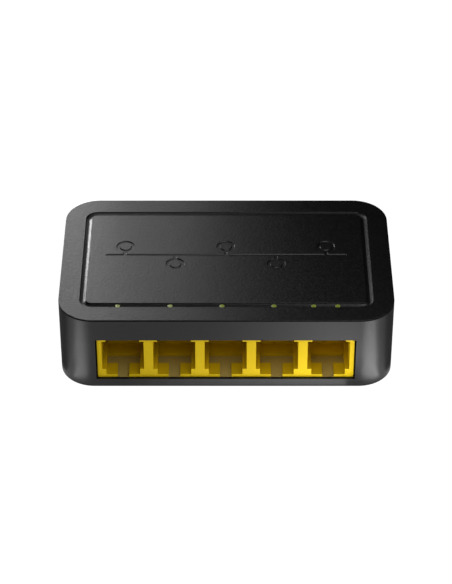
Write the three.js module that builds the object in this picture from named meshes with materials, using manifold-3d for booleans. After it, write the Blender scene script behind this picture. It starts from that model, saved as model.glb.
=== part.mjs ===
// Five-port desktop network switch, modelled the way it comes apart on a bench.
// Millimetres, +Z up. The origin is the centre of the footprint at the level the rubber feet stand on.
// The ports face -Y and the power inlet faces +Y.
import * as THREE from "three";
import { mergeVertices } from "three/addons/utils/BufferGeometryUtils.js";
import Module from "manifold-3d";

const wasm = await Module();
wasm.setup();

// Casing
const WIDTH = 91.1;
const DEPTH = 55.5;
const CASE_HEIGHT = 23.0;
const CORNER = 9.5;
const WALL = 1.8;
const FLOOR = 1.0;
const FOOT_HEIGHT = 0.6;
const BASE = FOOT_HEIGHT; // underside of the casing
const TOP = BASE + CASE_HEIGHT;
const FRONT = -DEPTH / 2;
const REAR = DEPTH / 2;
const ARC_STEPS = 10; // facets in a quarter turn of the casing's corners

const VENTS = { count: 11, pitch: 4, width: 1.6, length: 12, y: -11 };

// Top cover
const LIP = 0.1; // height of the cover's edge seen above the seam
const SEAM = 0.36;
const PLATE = 2.0;
const RIM = 5.77; // flat border outside the groove
const GROOVE = 1.77;
const GROOVE_DEPTH = 0.65;
const GROOVE_CORNER = 3.3;
const PANEL_CORNER = 1.5;
const SKIRT = 1.2;
const SKIRT_DROP = 2.0;
const CEILING = TOP - PLATE;

// Debossed pictogram on the panel: a bus line with one ring for each port
const MARK_Y = 1.5;
const MARK_DEPTH = 0.25;
const MARK_STROKE = 1.1;
const RING_RADIUS = 2.6;
const RING_OFFSET = 4;
const MARK_HALF_LENGTH = 33;

// Ganged modular jack, 8 positions a port
const PORTS = 5;
const PITCH = 13.97;
const PORT_ROW_X = -0.19; // the row sits a little to the left
const JACK_HALF_WIDTH = 34.85;
const JACK_FRONT = FRONT + 0.77;
const JACK_REAR = -11;
const JACK_BOTTOM = BASE + 2.7;
const JACK_TOP = BASE + 16;
const PLUG_HALF_WIDTH = 5.72;
const LATCH_HALF_WIDTH = 4.58;
const TROUGH_HALF_WIDTH = 4.55;
const LATCH_FLOOR = BASE + 3.62;
const SHOULDER = BASE + 5.5; // rails that the plug's body rests on
const PLUG_CEILING = BASE + 15;
const TROUGH_CEILING = BASE + 15.5;
const TRAY_ARM = [BASE + 14.45, BASE + 15.1]; // heights of the contact trays' forward arms
const CAVITY_DEPTH = 13;
const LEDGE_DEPTH = 4.85;
const FLOOR_WINDOW_END = 9;
const LEDGE_SLOT_HALF = 1.6;
const BACK_WALL = 1.2;

// Port window in the front wall
const WINDOW_HALF_WIDTH = 35.27;
const WINDOW_BOTTOM = BASE + 2.58;
const WINDOW_TOP = BASE + 16.1;

// Contact springs: the four wired positions of a 10/100 port
const CONTACT_PITCH = 1.016;
const WIRED_PLACES = [0, 1, 2, 5];
const CONTACT_WIDTH = 0.45;
const CONTACT_THICKNESS = 0.3;

// Circuit board and what stands on it
const BOARD_BOTTOM = BASE + 1.6;
const BOARD_TOP = BASE + 2.6;
const BOARD_HALF_WIDTH = 42.2;
const BOARD_FRONT = -25.5;
const BOARD_REAR = 24.3;
const BOARD_CORNER = 7;
const SEAT = 0.05; // gap between a part and the board it is soldered to

// Indicators, from left to right: four ports, then port five and power
const INDICATORS = [-29.4, -15.2, -1.2, 12.85, 23.6, 30.1];
const INDICATOR_Y = FRONT + RIM + GROOVE / 2;
const TIP_RADIUS = 0.7;
const TIP_SUNK = 0.28; // the lit tips stop this far below the top
const GUIDE = 1.4;
const LED_Y = -9;

// Screws, posts and feet
const SCREW = { x: 39.2, y: 7.5 };
const BOSS_RADIUS = 3.2;
const FOOT = { x: 37, y: 19.5, radius: 4 };

// Power inlet for a 5.5 mm barrel plug
const INLET_X = 24;
const INLET_Z = BASE + 9.2;
const INLET_FACE = 24.75;
const INLET_REAR = 11.5;
const INLET_BORE = 3.15;
const INLET_BORE_END = 15;

const X_AXIS = new THREE.Vector3(1, 0, 0);
const Y_AXIS = new THREE.Vector3(0, 1, 0);
const Z_AXIS = new THREE.Vector3(0, 0, 1);
const ALONG_X = new THREE.Matrix4().makeBasis(Y_AXIS, Z_AXIS, X_AXIS); // outline in (y, z)
const ALONG_Y = new THREE.Matrix4().makeBasis(X_AXIS, Z_AXIS, Y_AXIS.clone().negate()); // in (x, z)

// A closed geometry as a solid that can be joined and cut.
function solid(geometry) {
  const plain = geometry.clone();
  plain.deleteAttribute("normal");
  plain.deleteAttribute("uv");
  const merged = mergeVertices(plain, 1e-4);
  const mesh = new wasm.Mesh({
    numProp: 3,
    vertProperties: new Float32Array(merged.attributes.position.array),
    triVerts: new Uint32Array(merged.index.array),
  });
  return new wasm.Manifold(mesh);
}

function join(...geometries) {
  return geometryOf(geometries.map(solid).reduce((whole, piece) => whole.add(piece)));
}

function cut(body, ...tools) {
  return geometryOf(tools.map(solid).reduce((rest, tool) => rest.subtract(tool), solid(body)));
}

function geometryOf(manifold) {
  const mesh = manifold.getMesh();
  const positions = new Float32Array(mesh.numVert * 3);
  for (let i = 0; i < mesh.numVert; i++) {
    const start = i * mesh.numProp;
    positions.set(mesh.vertProperties.subarray(start, start + 3), i * 3);
  }
  const geometry = new THREE.BufferGeometry();
  geometry.setAttribute("position", new THREE.BufferAttribute(positions, 3));
  geometry.setIndex(new THREE.BufferAttribute(new Uint32Array(mesh.triVerts), 1));
  return geometry;
}

// A box between two corners, given as one range along each axis.
function block([x0, x1], [y0, y1], [z0, z1]) {
  const box = new THREE.BoxGeometry(x1 - x0, y1 - y0, z1 - z0);
  return box.translate((x0 + x1) / 2, (y0 + y1) / 2, (z0 + z1) / 2);
}

function around(centre, half) {
  return [centre - half, centre + half];
}

// A rectangle with rounded corners, centred on (x, y).
function roundedRectangle(width, depth, radius, x = 0, y = 0) {
  const outline = new THREE.Shape();
  const cx = width / 2 - radius;
  const cy = depth / 2 - radius;
  outline.absarc(x + cx, y + cy, radius, 0, Math.PI / 2);
  outline.absarc(x - cx, y + cy, radius, Math.PI / 2, Math.PI);
  outline.absarc(x - cx, y - cy, radius, Math.PI, 1.5 * Math.PI);
  outline.absarc(x + cx, y - cy, radius, 1.5 * Math.PI, 2 * Math.PI);
  outline.closePath();
  return outline;
}

// An upright prism of an outline, from z0 to z1.
function prism(outline, z0, z1, steps = ARC_STEPS) {
  const settings = { depth: z1 - z0, bevelEnabled: false, curveSegments: steps };
  return new THREE.ExtrudeGeometry(outline, settings).translate(0, 0, z0);
}

// An outline drawn in (y, z), as thick as the range along X.
function prismAlongX(outline, [x0, x1]) {
  const settings = { depth: x1 - x0, bevelEnabled: false, curveSegments: 6 };
  const made = new THREE.ExtrudeGeometry(outline, settings);
  return made.applyMatrix4(ALONG_X).translate(x0, 0, 0);
}

// An outline drawn in (x, z), as thick as the range along Y.
function prismAlongY(outline, [y0, y1]) {
  const settings = { depth: y1 - y0, bevelEnabled: false, curveSegments: 6 };
  const made = new THREE.ExtrudeGeometry(outline, settings);
  return made.applyMatrix4(ALONG_Y).translate(0, y1, 0);
}

function polygon(points) {
  return new THREE.Shape(points.map(([a, b]) => new THREE.Vector2(a, b)));
}

function upright(radius, x, y, z0, z1, steps = 20) {
  const made = new THREE.CylinderGeometry(radius, radius, z1 - z0, steps);
  return made.rotateX(Math.PI / 2).translate(x, y, (z0 + z1) / 2);
}

function alongY(radius, x, z, y0, y1, steps = 24) {
  const made = new THREE.CylinderGeometry(radius, radius, y1 - y0, steps);
  return made.translate(x, (y0 + y1) / 2, z);
}

// The outline of a bent strip of even thickness that follows a line of points.
function stripOutline(points, thickness) {
  const path = points.map(([a, b]) => new THREE.Vector2(a, b));
  const upper = [];
  const lower = [];
  path.forEach((point, i) => {
    const before = path[Math.max(i - 1, 0)];
    const after = path[Math.min(i + 1, path.length - 1)];
    const side = after.clone().sub(before).normalize().multiplyScalar(thickness / 2);
    side.rotateAround(new THREE.Vector2(), Math.PI / 2);
    upper.push(point.clone().add(side));
    lower.unshift(point.clone().sub(side));
  });
  return new THREE.Shape([...upper, ...lower]);
}

const portCentres = Array.from(
  { length: PORTS },
  (_, i) => PORT_ROW_X + (i - (PORTS - 1) / 2) * PITCH,
);
const screwPlaces = [-1, 1].map((side) => [side * SCREW.x, SCREW.y]);
const grooveSize = [WIDTH - 2 * RIM, DEPTH - 2 * RIM];
const panelSize = grooveSize.map((size) => size - 2 * GROOVE);
const innerRear = REAR - WALL;

// Lower case: a tub with the port window in front, the inlet hole behind and two screw bosses.
function lowerCase() {
  const rimTop = TOP - LIP - SEAM;
  const outside = prism(roundedRectangle(WIDTH, DEPTH, CORNER), BASE, rimTop);
  const hollow = roundedRectangle(WIDTH - 2 * WALL, DEPTH - 2 * WALL, CORNER - WALL);
  const cavity = prism(hollow, BASE + FLOOR, rimTop + 1);
  const shell = cut(outside, cavity);
  const bosses = screwPlaces.map(([x, y]) =>
    upright(BOSS_RADIUS, x, y, BASE + FLOOR / 2, BASE + 5, 24),
  );
  const boardRests = [-1, 1].flatMap((side) =>
    [-20, 21].map((y) => upright(1.6, side * 33, y, BASE + FLOOR / 2, BOARD_BOTTOM - SEAT, 12)),
  );
  const frontWindow = block(
    around(PORT_ROW_X, WINDOW_HALF_WIDTH),
    [FRONT - 1, FRONT + WALL + 0.1],
    [WINDOW_BOTTOM, WINDOW_TOP],
  );
  const inletHole = alongY(4.5, INLET_X, INLET_Z, innerRear - 1, REAR + 1, 32);
  const screwHoles = screwPlaces.flatMap(([x, y]) => [
    upright(2.2, x, y, BASE - 1, BASE + 2.4),
    upright(1.25, x, y, BASE, BASE + 6, 16),
  ]);
  const footRecesses = footPlaces().map(([x, y]) =>
    upright(FOOT.radius + 0.3, x, y, BASE - 1, BASE + 0.35, 28),
  );
  const vents = Array.from({ length: VENTS.count }, (_, i) => {
    const x = (i - (VENTS.count - 1) / 2) * VENTS.pitch;
    const slot = roundedRectangle(VENTS.width, VENTS.length, VENTS.width / 2 - 0.01, x, VENTS.y);
    return prism(slot, BASE - 1, BASE + FLOOR + 0.3, 3);
  });
  const body = join(shell, ...bosses, ...boardRests);
  return cut(body, frontWindow, inletHole, ...screwHoles, ...footRecesses, ...vents);
}

function footPlaces() {
  return [-1, 1].flatMap((sx) => [-1, 1].map((sy) => [sx * FOOT.x, sy * FOOT.y]));
}

// Pictogram sunk into the panel: a bus line, and rings on short stubs above and below it.
function panelMark() {
  const sunk = [TOP - MARK_DEPTH, TOP + 1];
  const half = MARK_STROKE / 2;
  const pieces = [block(around(0, MARK_HALF_LENGTH), around(MARK_Y, half), sunk)];
  portCentres.forEach((x, i) => {
    const side = i % 2 ? -1 : 1;
    const ringY = MARK_Y + side * RING_OFFSET;
    const ring = cut(
      upright(RING_RADIUS, x, ringY, ...sunk, 20),
      upright(RING_RADIUS - MARK_STROKE, x, ringY, sunk[0] - 1, sunk[1] + 1, 14),
    );
    const stub = side * (RING_OFFSET - RING_RADIUS + 0.3);
    const span = [MARK_Y, MARK_Y + stub].sort((a, b) => a - b);
    pieces.push(ring, block(around(x, half), span, sunk));
  });
  return join(...pieces);
}

// Top cover: flat rim, sunk groove and raised panel, with a locating skirt and two screw posts.
function topCover() {
  const lip = prism(roundedRectangle(WIDTH, DEPTH, CORNER), TOP - LIP, TOP);
  const inset = WALL + 0.2;
  const plug = roundedRectangle(WIDTH - 2 * inset, DEPTH - 2 * inset, CORNER - inset);
  const plate = prism(plug, CEILING, TOP - LIP / 2);
  const skirtOuter = prism(plug, CEILING - SKIRT_DROP, CEILING + 0.5);
  const room = inset + SKIRT;
  const skirtInner = prism(
    roundedRectangle(WIDTH - 2 * room, DEPTH - 2 * room, CORNER - room),
    CEILING - SKIRT_DROP - 1,
    CEILING,
  );
  const skirt = cut(skirtOuter, skirtInner);
  const posts = screwPlaces.map(([x, y]) => upright(2.7, x, y, BASE + 5.2, CEILING + 0.5, 16));
  const groove = cut(
    prism(roundedRectangle(...grooveSize, GROOVE_CORNER), TOP - GROOVE_DEPTH, TOP + 1, 5),
    prism(roundedRectangle(...panelSize, PANEL_CORNER), TOP - GROOVE_DEPTH - 1, TOP + 2, 4),
  );
  const lightHoles = INDICATORS.map((x) =>
    upright(TIP_RADIUS + 0.12, x, INDICATOR_Y, CEILING - 1, TOP, 14),
  );
  const pilotHoles = screwPlaces.map(([x, y]) => upright(1.15, x, y, BASE + 4, BASE + 14, 12));
  const body = join(lip, plate, skirt, ...posts);
  return cut(body, groove, panelMark(), ...lightHoles, ...pilotHoles);
}

// Clear light guide: one branch for each indicator, joined by a cross bar over the jack.
function lightGuide() {
  const low = BASE + 16.6;
  const high = low + GUIDE;
  const foot = around(LED_Y, GUIDE / 2);
  const rise = around(INDICATOR_Y, GUIDE / 2);
  const mirror = 0.6; // 45 degree faces that turn the light
  const branch = polygon([
    [foot[0], BASE + 3.75],
    [foot[1], BASE + 3.75],
    [foot[1], high - mirror],
    [foot[1] - mirror, high],
    [rise[1], high],
    [rise[1], BASE + 20],
    [rise[0], BASE + 20],
    [rise[0], low + mirror],
    [rise[0] + mirror, low],
    [foot[0], low],
  ]);
  const branches = INDICATORS.flatMap((x) => [
    prismAlongX(branch, around(x, GUIDE / 2)),
    upright(TIP_RADIUS, x, INDICATOR_Y, BASE + 19.5, TOP - TIP_SUNK, 14),
  ]);
  const bar = block([INDICATORS[0], INDICATORS[5]], [-13, -11.6], [low + 0.1, high - 0.1]);
  return join(bar, ...branches);
}

// Cross-section of one port: latch channel below, plug space above, contact trough on top.
function portOutline(x) {
  const right = [
    [LATCH_HALF_WIDTH, LATCH_FLOOR],
    [LATCH_HALF_WIDTH, SHOULDER],
    [PLUG_HALF_WIDTH, SHOULDER],
    [PLUG_HALF_WIDTH, PLUG_CEILING],
    [TROUGH_HALF_WIDTH, PLUG_CEILING],
    [TROUGH_HALF_WIDTH, TROUGH_CEILING],
  ];
  const left = right.map(([dx, z]) => [-dx, z]).reverse();
  return polygon([...right, ...left].map(([dx, z]) => [x + dx, z]));
}

// Jack housing: one moulding with five ports, open below behind the ledges, with pockets for trays.
function jackHousing() {
  const cavityEnd = JACK_FRONT + CAVITY_DEPTH;
  const floorLevels = [JACK_BOTTOM - 1, LATCH_FLOOR + 0.1];
  const tools = portCentres.flatMap((x) => [
    prismAlongY(portOutline(x), [JACK_FRONT - 1, cavityEnd]),
    block(around(x, LEDGE_SLOT_HALF), [JACK_FRONT - 1, JACK_FRONT + LEDGE_DEPTH + 0.1], floorLevels),
    block(
      around(x, LATCH_HALF_WIDTH),
      [JACK_FRONT + LEDGE_DEPTH, JACK_FRONT + FLOOR_WINDOW_END],
      floorLevels,
    ),
    block(
      around(x, TROUGH_HALF_WIDTH),
      [cavityEnd + BACK_WALL, JACK_REAR + 1],
      [JACK_BOTTOM - 1, TROUGH_CEILING],
    ),
    block(
      around(x, TROUGH_HALF_WIDTH),
      [cavityEnd - 0.5, JACK_REAR + 1],
      [TRAY_ARM[0] - 0.15, TROUGH_CEILING],
    ),
  ]);
  const body = block(around(PORT_ROW_X, JACK_HALF_WIDTH), [JACK_FRONT, JACK_REAR], [JACK_BOTTOM, JACK_TOP]);
  return cut(body, ...tools);
}

// Contact tray: insulator that slides into the jack from behind and carries one port's contacts.
function contactTray(x) {
  const half = 4.1;
  const plate = [JACK_FRONT + CAVITY_DEPTH + BACK_WALL + 0.3, JACK_REAR - 0.1];
  const upright = block(around(x, half), plate, [JACK_BOTTOM + 0.05, TRAY_ARM[1]]);
  const roof = block(around(x, half), [-23.4, plate[1]], TRAY_ARM);
  return join(upright, roof);
}

// Contact spring: starts in a tight bend at the mouth and slopes down to a free end at the back.
function contactSpring(x) {
  const path = [
    [-24.05, 14.2],
    [-24.35, 13.95],
    [-24.15, 13.6],
    [-16.6, 9.95],
    [-15.9, 9.85],
    [-15.4, 10.05],
  ].map(([y, z]) => [y, BASE + z]);
  return prismAlongX(stripOutline(path, CONTACT_THICKNESS), around(x, CONTACT_WIDTH / 2));
}

function circuitBoard() {
  const middle = (BOARD_FRONT + BOARD_REAR) / 2;
  const outline = roundedRectangle(
    2 * BOARD_HALF_WIDTH,
    BOARD_REAR - BOARD_FRONT,
    BOARD_CORNER,
    0,
    middle,
  );
  const notches = screwPlaces.map(([x, y]) =>
    upright(BOSS_RADIUS + 0.3, x, y, BOARD_BOTTOM - 1, BOARD_TOP + 1, 24),
  );
  return cut(prism(outline, BOARD_BOTTOM, BOARD_TOP, 5), ...notches);
}

// A gull-wing package: body with a row of leads on each long side.
function packagedPart(x, y, [width, depth, height], leads, pitch, leadWidth, reach) {
  const bottom = BOARD_TOP + SEAT;
  const body = block(around(x, width / 2), around(y, depth / 2), [bottom, bottom + height]);
  const pins = Array.from({ length: leads }, (_, i) =>
    block(
      around(x + (i - (leads - 1) / 2) * pitch, leadWidth / 2),
      around(y, depth / 2 + reach),
      [bottom, bottom + 0.35],
    ),
  );
  return join(body, ...pins);
}

function switchChip() {
  const alongRows = packagedPart(-4, 11, [14, 14, 1.5], 12, 1, 0.45, 1);
  const bottom = BOARD_TOP + SEAT;
  const sides = Array.from({ length: 12 }, (_, i) =>
    block([-12, 4], around(11 + (i - 5.5), 0.22), [bottom, bottom + 0.35]),
  );
  return join(alongRows, ...sides);
}

// Round can standing on the board, with a bead rolled near its foot.
function capacitor(x, y, radius, height) {
  const bottom = BOARD_TOP + SEAT;
  const profile = [
    [0, 0],
    [radius - 0.1, 0],
    [radius, 0.5],
    [radius, 1.2],
    [radius - 0.3, 1.5],
    [radius, 1.8],
    [radius, height - 0.4],
    [radius - 0.4, height],
    [0, height],
  ].map(([r, z]) => new THREE.Vector2(r, z));
  const turned = new THREE.LatheGeometry(profile, 20);
  return join(turned.rotateX(Math.PI / 2).translate(x, y, bottom));
}

function crystal() {
  const can = roundedRectangle(11, 4.6, 2.25, -22, 12);
  const flange = roundedRectangle(11.6, 5.2, 2.55, -22, 12);
  const bottom = BOARD_TOP + SEAT;
  return join(prism(flange, bottom, bottom + 0.5, 5), prism(can, bottom + 0.3, bottom + 3.4, 5));
}

function indicatorLed(x) {
  const bottom = BOARD_TOP + SEAT;
  const base = block(around(x, 0.8), around(LED_Y, 0.4), [bottom, bottom + 0.35]);
  const lens = block(around(x, 0.5), around(LED_Y, 0.38), [bottom + 0.3, bottom + 0.75]);
  return join(base, lens);
}

// Power inlet housing: a bore for the barrel plug, a hole for the pin and a slot for the leaf.
function inletHousing() {
  const body = block(
    around(INLET_X, 4.5),
    [INLET_REAR, INLET_FACE],
    [BOARD_TOP + SEAT, BASE + 13.6],
  );
  const bore = alongY(INLET_BORE, INLET_X, INLET_Z, INLET_BORE_END, INLET_FACE + 1, 28);
  const pinHole = alongY(1.15, INLET_X, INLET_Z, INLET_REAR - 1, INLET_BORE_END + 1, 16);
  const leafSlot = block(
    around(INLET_X, 1.5),
    [INLET_BORE_END, INLET_FACE - 0.8],
    [BASE + 4.4, INLET_Z - 1],
  );
  return cut(body, bore, pinHole, leafSlot);
}

function inletPin() {
  const length = 11.6;
  const profile = [
    [0, 0],
    [1, 0],
    [1, length - 0.7],
    [0.8, length - 0.25],
    [0.4, length],
    [0, length],
  ].map(([r, y]) => new THREE.Vector2(r, y));
  return join(new THREE.LatheGeometry(profile, 16).translate(INLET_X, INLET_REAR + 0.6, INLET_Z));
}

// Leaf that bears on the barrel of the plug: fixed at the back, bowed up into the bore.
function inletSpring() {
  const path = [
    [15.4, 5.5],
    [17, 5.7],
    [20, 6.35],
    [21.5, 6.45],
    [23.4, 5.7],
  ].map(([y, z]) => [y, BASE + z]);
  return prismAlongX(stripOutline(path, 0.3), around(INLET_X, 1.2));
}

function screw([x, y]) {
  const head = upright(1.9, x, y, BASE + 0.9, BASE + 2.3, 20);
  const shank = upright(1, x, y, BASE + 2.2, BASE + 12, 12);
  const recess = [BASE, BASE + 1.7];
  const cross = [
    block(around(x, 1.1), around(y, 0.25), recess),
    block(around(x, 0.25), around(y, 1.1), recess),
  ];
  return cut(join(head, shank), ...cross);
}

function foot([x, y]) {
  const profile = [
    [0, 0],
    [FOOT.radius - 0.3, 0],
    [FOOT.radius, 0.3],
    [FOOT.radius, BASE + 0.3],
    [0, BASE + 0.3],
  ].map(([r, z]) => new THREE.Vector2(r, z));
  return join(new THREE.LatheGeometry(profile, 24).rotateX(Math.PI / 2).translate(x, y, 0));
}

// Colour, roughness and metalness of each material.
const FINISHES = {
  case_black: [0x26262a, 0.6, 0],
  jack_yellow: [0xd6b41c, 0.5, 0],
  guide_clear: [0xb9cf7a, 0.15, 0],
  tray_black: [0x1c1c1e, 0.6, 0],
  contact_gold: [0xd8b25a, 0.3, 1],
  board_green: [0x1f5c38, 0.5, 0],
  package_black: [0x17171a, 0.5, 0],
  can_metal: [0xb6b8bb, 0.3, 1],
  led_body: [0xe8e6d8, 0.4, 0],
  steel: [0xa4a7ab, 0.35, 1],
  foot_rubber: [0x202022, 0.9, 0],
  label_paper: [0xd9d9d6, 0.6, 0],
};

const assembly = new THREE.Group();

function add(name, finish, geometry) {
  const [color, roughness, metalness] = FINISHES[finish];
  const material = new THREE.MeshStandardMaterial({ color, roughness, metalness });
  const mesh = new THREE.Mesh(geometry, material);
  mesh.name = name;
  assembly.add(mesh);
}

add("lower_case", "case_black", lowerCase());
add("top_cover", "case_black", topCover());
add("light_guide", "guide_clear", lightGuide());
add("jack_housing", "jack_yellow", jackHousing());
portCentres.forEach((x, port) => {
  const place = port + 1;
  add(`contact_tray_${place}`, "tray_black", contactTray(x));
  WIRED_PLACES.forEach((pin) => {
    const contactX = x + (pin - 3.5) * CONTACT_PITCH;
    add(`contact_${place}_${pin + 1}`, "contact_gold", contactSpring(contactX));
  });
  const transformer = packagedPart(x, -2.4, [12.2, 7, 5.2], 8, 1.27, 0.5, 0.8);
  add(`port_transformer_${place}`, "package_black", transformer);
});
add("circuit_board", "board_green", circuitBoard());
add("switch_chip", "package_black", switchChip());
add("clock_crystal", "can_metal", crystal());
add("capacitor_input", "can_metal", capacitor(13, 19, 3.15, 7.2));
add("capacitor_output", "can_metal", capacitor(33, 13.5, 2.5, 6));
add("power_inductor", "package_black", packagedPart(11, 10.5, [5, 5, 3], 2, 3, 1.2, 0.3));
add("regulator", "package_black", packagedPart(11, 4.8, [3, 1.6, 1.2], 3, 0.95, 0.4, 0.6));
INDICATORS.forEach((x, i) => add(`indicator_led_${i + 1}`, "led_body", indicatorLed(x)));
add("inlet_housing", "tray_black", inletHousing());
add("inlet_pin", "steel", inletPin());
add("inlet_spring", "steel", inletSpring());
footPlaces().forEach((place, i) => add(`foot_${i + 1}`, "foot_rubber", foot(place)));
screwPlaces.forEach((place, i) => add(`case_screw_${i + 1}`, "steel", screw(place)));
const label = prism(roundedRectangle(46, 20, 1.5, 0, 9), BASE - 0.14, BASE - 0.02, 4);
add("rating_label", "label_paper", label);

export default assembly;
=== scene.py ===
"""Looks of a five-port desktop network switch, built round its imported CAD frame.

Blender units are metres, in the CAD frame: the ports face -Y and +Z is up.
Lengths below are in millimetres and are scaled by MM where a mesh is made.
"""

import math
import random

import bmesh
import bpy
from mathutils import Matrix, Vector


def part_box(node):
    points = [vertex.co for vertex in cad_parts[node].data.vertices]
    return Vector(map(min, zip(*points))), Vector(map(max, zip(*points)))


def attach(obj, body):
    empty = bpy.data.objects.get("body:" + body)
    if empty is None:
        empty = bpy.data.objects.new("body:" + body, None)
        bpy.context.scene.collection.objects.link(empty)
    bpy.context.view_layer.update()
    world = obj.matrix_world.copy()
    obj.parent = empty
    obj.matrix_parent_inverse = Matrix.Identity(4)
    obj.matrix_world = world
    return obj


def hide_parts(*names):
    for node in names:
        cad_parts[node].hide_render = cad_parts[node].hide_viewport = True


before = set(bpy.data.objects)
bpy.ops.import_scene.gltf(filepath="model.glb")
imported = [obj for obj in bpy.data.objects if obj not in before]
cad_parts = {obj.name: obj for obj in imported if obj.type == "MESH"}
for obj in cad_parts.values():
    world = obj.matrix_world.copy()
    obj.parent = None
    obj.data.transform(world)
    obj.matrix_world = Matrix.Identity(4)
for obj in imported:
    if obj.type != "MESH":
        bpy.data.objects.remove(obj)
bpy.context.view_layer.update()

MM = 0.001
SEED = 7
PAST = 1  # how far a cutter runs past the face that it opens
APART = 0.01  # keeps the walls of two cutters, or of two pieces, out of one plane
BEVEL_ANGLE = 40  # edges sharper than this, in degrees, are rounded
SMOOTH_ANGLE = 38
SQUARE = ((1, 1), (-1, 1), (-1, -1), (1, -1))

# Camera, fitted to the casing's outline
CAMERA_DISTANCE = 628.0
CAMERA_ELEVATION = 37.6
CAMERA_LENS = 138.1
CAMERA_TARGET_Z = 12.8
CAMERA_SHIFT = (-0.00063, -0.00505)

# Strips of the graded key light behind the switch: place in X, width and radiance
KEY_DISTANCE = 110
KEY_LENGTH = 180
KEY_STRIPS = ((-50, 21, 5.1), (-20, 22, 1.65), (3, 18, 0.3))

# Panels that lie on the table before the front corners: name, place, size, turn and radiance
TABLE_LEVEL = 0.5
TABLE_LIGHTS = (
    ("table_left_near", (-44.7, -31.8), (8, 8), -48, 4.5),
    ("table_left_far", (-55.8, -41.9), (15, 22), -48, 4.3),
    ("table_right_near", (43.7, -32.5), (10, 8), 42, 8.0),
    ("table_right_far", (52.2, -45), (18, 24), 40, 8.0),
)

# Rows of narrow panels on the table before the front wall, brighter towards the right: near and far edge,
# X of the dark end, run in X to a radiance of 1, power of the rise and the most radiance
TABLE_ROWS = ((-28.5, -36.5, -26, 14, 1, 3.5), (-36.5, -68.5, -12, 23, 2, 4.4))
TABLE_END = 37.5
TABLE_STEP = 4.9

# Soft lights in the air: name, place, aim, size and radiance
SOFTBOXES = (
    ("groove_bright", (-81, 86, 53), (-37, 18, 23), (18, 30), 28.0),
    ("groove_soft", (-99, 80, 62), (-37, -5, 23), (20, 40), 9.0),
    ("port_light", (30, -58, 95), (5, -27, 8), (150, 60), 2.2),
    ("front_fill", (120, -520, 230), (0, 0, 10), (700, 420), 0.22),
)

# Grey cards that lie beside the switch, dim surround and bright floor
FLAG_INNER = 46.5
FLAG_OUTER = 260
FLAG_FRONT = -23
FLAG_LEVELS = (0.2, 0.4)
FLAG_GLOW = 0.06
FLOOR_GLOW = 1.0
FLOOR_REACH = 6  # metres
SURROUND = 0.01

# Finishes
TOP_ROUGHNESS = 0.37
TOP_GRAIN_DEPTH = 0.045
JACK_COLOUR = (0.56, 0.388, 0.005)
GLOW_COLOUR = (0.36, 0.43, 0.06)
GLOW_STRENGTH = 0.24

# Casing
CORNER = 9.5
CORNER_STEPS = 18
RADIUS_FALL = 1.074  # how fast the corner radius shrinks with the inset
WALL = 1.8
FLOOR = 1.0
TUB_FILLET = 0.15
TUB_EDGE = 0.06
TUB_INNER_FILLET = 0.4
BOSS_RADIUS = 3.2
BOSS_HEIGHT = 5
BOSS_BORE = 1.25
SUPPORT_RADIUS = 1.6
SUPPORT_PLACES = ((-33, -20), (-33, 21), (33, -20), (33, 21))
SCREW_PLACES = ((-39.2, 7.5), (39.2, 7.5))
SCREW_RECESS_RADIUS = 2.2
SCREW_RECESS_DEPTH = 2.4
FOOT_MARGIN = 0.3
FOOT_RECESS_DEPTH = 0.35
VENTS = dict(count=11, pitch=4.0, width=1.6, length=12.0, y=-11.0)
INLET_HEIGHT = 9.2  # of the inlet's axis above the casing's underside
INLET_HOLE_RADIUS = 4.5

# Cover
LIP = 0.1  # edge of the cover seen above the seam
SEAM = 0.36
SEAM_DEPTH = 1.0
SEAM_CLEARANCE = 0.02
PLATE = 2.0
COVER_EDGE = 0.09
SKIRT_GAP = 0.2
SKIRT_THICKNESS = 1.2
SKIRT_DEPTH = 2.0
SKIRT_CHAMFER = 0.15
POST_GAP = 0.2  # between a screw post and its boss
POST_RADIUS = 2.7
POST_BORE = 1.15
POST_BORE_REACH = (4, 14)  # heights above the casing's underside
RIM = 5.77
GROOVE = 1.77
GROOVE_LIP = 0.12
# Half of the groove, as distance from its edge and depth: a steep shoulder, a slope and a round bottom
GROOVE_SHOULDER = ((0.05, 0.22), (0.09, 0.32), (0.15, 0.37))
GROOVE_BOTTOM = ((0.46, 0.5), (0.72, 0.61), (0.81, 0.64), (0.885, 0.65))
GROOVE_SECTION = GROOVE_SHOULDER + GROOVE_BOTTOM

# Debossed pictogram
MARK_Y = 1.5
MARK_DEPTH = 0.26
MARK_STROKE = 1.1
MARK_TAPER = 0.2
MARK_CLEARANCE = 0.002  # how far the cutters stand above the panel
STUB_INSET = 0.2
STUB_STROKE = MARK_STROKE * 0.96
STUB_LIFT = 0.004
RING_RADIUS = 2.6
RING_OFFSET = 4.0
RING_STEPS = 64
MARK_HALF_LENGTH = 33.0

# Ganged jack
PORTS = 5
PITCH = 13.97
PORT_ROW_X = -0.19
PLUG_HALF_WIDTH = 5.72
LATCH_HALF_WIDTH = 4.58
TROUGH_HALF_WIDTH = 4.55
CAVITY_DEPTH = 13.0
LEDGE_DEPTH = 4.85
FLOOR_WINDOW_END = 9.0
LEDGE_SLOT_HALF = 1.57
BACK_WALL = 1.2
LATCH_FLOOR = 0.92  # heights above the jack's underside
SHOULDER = 2.8
PLUG_CEILING = 12.3
TROUGH_CEILING = 12.8
TRAY_ARM = 14.45  # height of the trays' forward arms above the casing's underside
SLIT_MARGIN = 0.15
WINDOW_HALF_WIDTH = 35.27
WINDOW_CORNER = 0.25
WINDOW_BELOW = 0.12  # the window's margins under and over the jack
WINDOW_ABOVE = 0.1

# Contacts
PLACES = 8
CONTACT_PITCH = 1.016
WIRED_PLACES = (0, 1, 2, 5)
WIRE_WIDTH = 0.45
WIRE_THICKNESS = 0.3
WIRE_BEND = 0.6
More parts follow.
